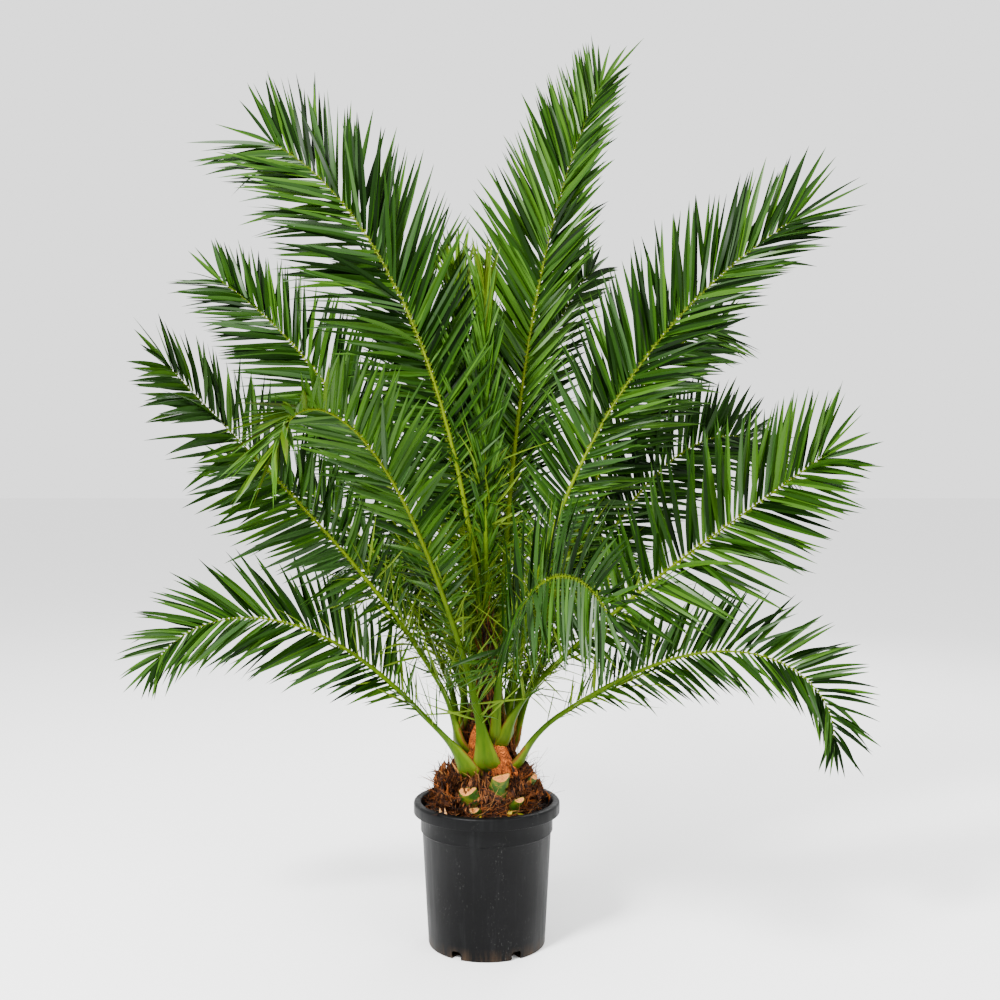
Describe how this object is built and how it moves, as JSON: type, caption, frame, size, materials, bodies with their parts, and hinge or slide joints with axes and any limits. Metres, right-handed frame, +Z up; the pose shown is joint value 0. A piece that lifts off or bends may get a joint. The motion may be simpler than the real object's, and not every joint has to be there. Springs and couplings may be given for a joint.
{
  "type": "potted date palm tree",
  "caption": "Young date palm with arching feather fronds on a short fibrous trunk with cut leaf stubs, standing in a round plastic nursery pot of soil.",
  "frame": {"origin": "centre of the pot's flat underside", "axes": "+Z up along the pot's axis; -Y is the plant's front, +X its right seen from the front"},
  "size_m": [1.6788, 1.6544, 2.1118],
  "materials": {
    "pot_plastic": "satin",
    "potting_soil": "rough",
    "trunk_fibre": "rough",
    "cut_stub": "satin",
    "leaf_green": "satin",
    "leaf_lime": "satin"
  },
  "bodies": {
    "root": {"pot": "pot_plastic", "soil": "potting_soil", "trunk": "trunk_fibre", "stub_1": "cut_stub", "stub_2": "cut_stub", "stub_3": "cut_stub", "stub_4": "cut_stub", "stub_5": "cut_stub", "stub_6": "cut_stub", "stub_7": "cut_stub", "frond_01_base": "leaf_green", "frond_01_end": "leaf_green", "frond_02": "leaf_green", "frond_03_base": "leaf_green", "frond_03_end": "leaf_green", "frond_04_base": "leaf_green", "frond_04_end": "leaf_green", "frond_05_base": "leaf_green", "frond_05_end": "leaf_green", "frond_06": "leaf_green", "frond_07_base": "leaf_green", "frond_07_end": "leaf_green", "frond_08_base": "leaf_green", "frond_08_end": "leaf_green", "frond_09": "leaf_green", "frond_10": "leaf_green", "frond_11_base": "leaf_lime", "frond_11_end": "leaf_lime", "frond_12_base": "leaf_green", "frond_12_end": "leaf_green", "frond_13": "leaf_lime", "frond_14": "leaf_lime", "frond_15": "leaf_green", "frond_16": "leaf_green", "frond_17_base": "leaf_green", "frond_17_end": "leaf_green", "frond_18_base": "leaf_green", "frond_18_end": "leaf_green", "frond_19_base": "leaf_green", "frond_19_end": "leaf_green", "frond_20_base": "leaf_green", "frond_20_end": "leaf_green", "frond_21_base": "leaf_green", "frond_21_end": "leaf_green"}
  },
  "joints": []
}
